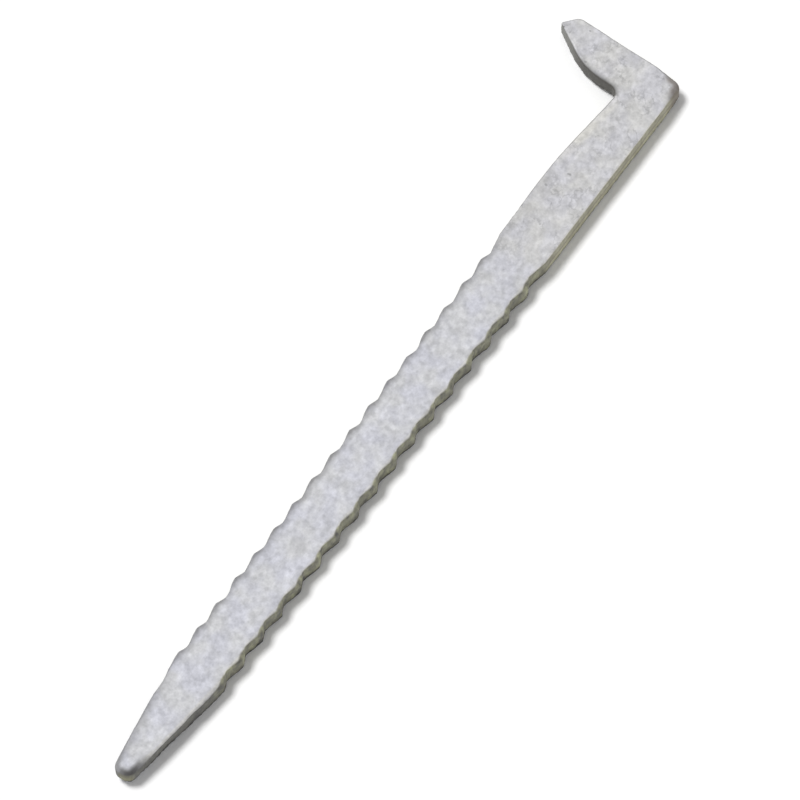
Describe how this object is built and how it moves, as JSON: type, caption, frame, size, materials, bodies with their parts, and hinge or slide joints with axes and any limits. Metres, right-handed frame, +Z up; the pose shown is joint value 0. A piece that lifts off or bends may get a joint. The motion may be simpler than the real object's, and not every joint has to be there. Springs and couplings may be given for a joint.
{
  "type": "model railway track spike",
  "caption": "Small flat steel track spike with a hooked head, a barbed shank and a blunt tapered tip, lying on its broad face.",
  "frame": {"origin": "middle of the length and width, on the underside, which is the broad face that the spike lies on", "axes": "+X along the shank from the tip to the head, +Y to the side that the hook points to, +Z up through the thickness"},
  "size_m": [0.0126, 0.002, 0.0004],
  "materials": {
    "spike_steel": "light grey mottled plated steel, matt, with darker olive-brown sides"
  },
  "bodies": {
    "root": {"spike": "spike_steel"}
  },
  "joints": []
}
